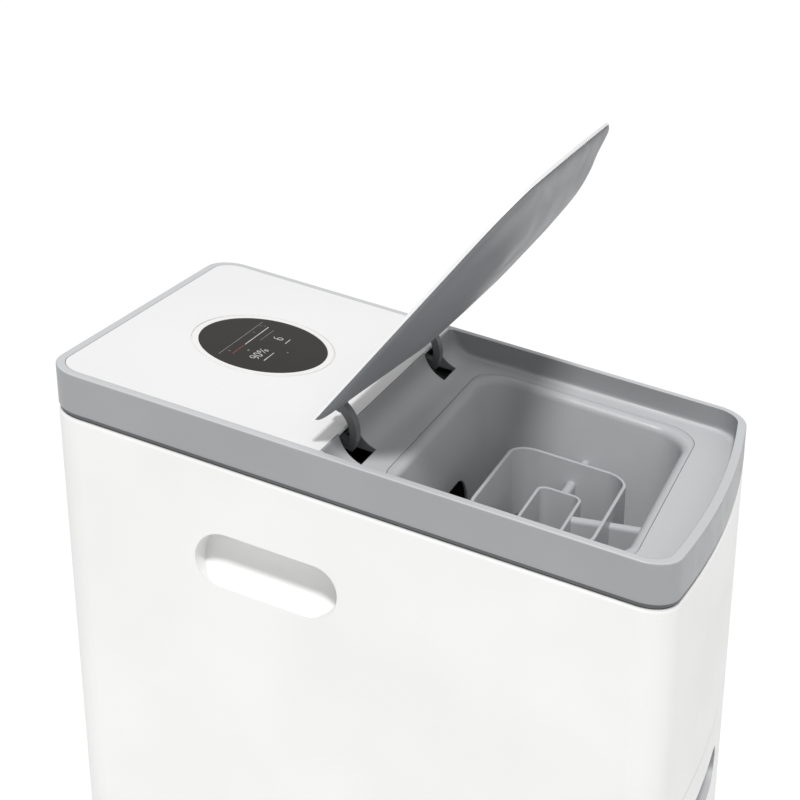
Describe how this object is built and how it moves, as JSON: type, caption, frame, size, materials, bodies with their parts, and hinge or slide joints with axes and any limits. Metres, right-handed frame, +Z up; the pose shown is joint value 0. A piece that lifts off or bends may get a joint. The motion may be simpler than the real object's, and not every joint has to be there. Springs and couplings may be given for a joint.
{
  "type": "trash compactor",
  "caption": "Slim free-standing household waste compactor with a hinged hopper lid, round touch display, feed guard, horizontal ram and pull-out waste drawer.",
  "frame": {"origin": "on the floor under the centre of the plan outline", "axes": "+Z up, the user stands on the -Y side, the display is at the +Y end, +X across the width"},
  "size_m": [0.3, 0.498, 0.8455],
  "materials": {
    "white_satin": "satin moulded",
    "white_gloss": "gloss",
    "grey_abs": "fine satin texture",
    "light_grey_abs": "fine satin texture",
    "dark_trim": "matt",
    "display_glass": "gloss black, printed from behind",
    "silver_ring": "satin",
    "zinc_steel": "zinc plated",
    "painted_steel": "powder coat",
    "stainless": "brushed",
    "brass": "machined",
    "black_plastic": "matt",
    "rubber": "matt",
    "circuit": "circuit board",
    "carbon_foam": "open cell",
    "aluminium": "extruded"
  },
  "bodies": {
    "cabinet": {"body_shell": "white_satin", "rear_cover": "light_grey_abs", "rear_cover_screws": "zinc_steel", "power_inlet": "black_plastic", "base_pan": "black_plastic", "rubber_feet": "rubber", "chassis_side_right": "zinc_steel", "chassis_side_left": "zinc_steel", "runner_channel_right": "zinc_steel", "runner_channel_left": "zinc_steel", "top_frame": "grey_abs", "trim_lip": "dark_trim", "display_panel": "white_gloss", "display_bezel": "silver_ring", "display_glass": "display_glass", "display_housing": "black_plastic", "display_board": "circuit", "hopper_liner": "light_grey_abs", "feed_guard": "light_grey_abs", "drop_chute": "light_grey_abs", "air_duct": "black_plastic", "carbon_filter": "carbon_foam", "fan_housing": "black_plastic", "hinge_pins": "stainless", "hinge_bracket_right": "zinc_steel", "hinge_bracket_left": "zinc_steel", "ball_bearings": "stainless", "bearing_plate": "zinc_steel", "bulkhead": "painted_steel", "tube_bushes": "black_plastic", "standoff_pillars": "zinc_steel", "plate_bolts": "zinc_steel", "drive_motor": "zinc_steel", "gearbox_case": "aluminium", "gear_cover": "black_plastic", "chamber_roof": "zinc_steel", "power_supply": "aluminium", "control_board": "circuit", "level_sensor": "black_plastic"},
    "lid": {"lid_top_panel": "white_gloss", "lid_inner_pan": "grey_abs", "hinge_arm_right": "dark_trim", "hinge_arm_left": "dark_trim", "hinge_bushes": "brass"},
    "drawer": {"drawer_front": "white_satin", "drawer_pull_cup": "grey_abs", "drawer_bin": "light_grey_abs", "drawer_mounts": "light_grey_abs", "runner_slide_right": "zinc_steel", "runner_slide_left": "zinc_steel"},
    "ram": {"ram_plate": "stainless", "push_tubes": "zinc_steel", "screw_nuts": "brass"},
    "screw_drive_lower": {"lead_screw_lower": "stainless", "screw_gear_lower": "zinc_steel"},
    "screw_drive_upper": {"lead_screw_upper": "stainless", "screw_gear_upper": "zinc_steel"},
    "pinion": {"drive_pinion": "zinc_steel"},
    "fan": {"fan_rotor": "black_plastic"}
  },
  "joints": [
    {"name": "lid_hinge", "type": "hinge", "parent": "cabinet", "child": "lid", "pos_m": [0, 0.044, 0.63666], "axis": [-1, 0, 0], "range_deg": [-60, 0]},
    {"name": "drawer_slide", "type": "slide", "parent": "cabinet", "child": "drawer", "axis": [0, -1, 0], "range_m": [0, 0.17]},
    {"name": "ram_slide", "type": "slide", "parent": "cabinet", "child": "ram", "axis": [0, -1, 0], "range_m": [0, 0.12]},
    {"name": "screw_spin_lower", "type": "hinge", "parent": "cabinet", "child": "screw_drive_lower", "pos_m": [0, 0.2, 0.166], "axis": [0, -1, 0], "range_deg": [0, 4320]},
    {"name": "screw_spin_upper", "type": "hinge", "parent": "cabinet", "child": "screw_drive_upper", "pos_m": [0, 0.2, 0.286], "axis": [0, -1, 0], "range_deg": [0, 4320]},
    {"name": "pinion_spin", "type": "hinge", "parent": "cabinet", "child": "pinion", "pos_m": [0, 0.2, 0.226], "axis": [0, -1, 0], "range_deg": [-21600, 0]},
    {"name": "fan_spin", "type": "hinge", "parent": "cabinet", "child": "fan", "pos_m": [0, 0.1, 0.53], "axis": [0, 1, 0], "continuous": true}
  ],
  "couplings": [
    {"joint": "screw_spin_lower", "follows": "ram_slide", "rad_per_m": 628.32},
    {"joint": "screw_spin_upper", "follows": "ram_slide", "rad_per_m": 628.32},
    {"joint": "pinion_spin", "follows": "ram_slide", "rad_per_m": -3141.6}
  ]
}
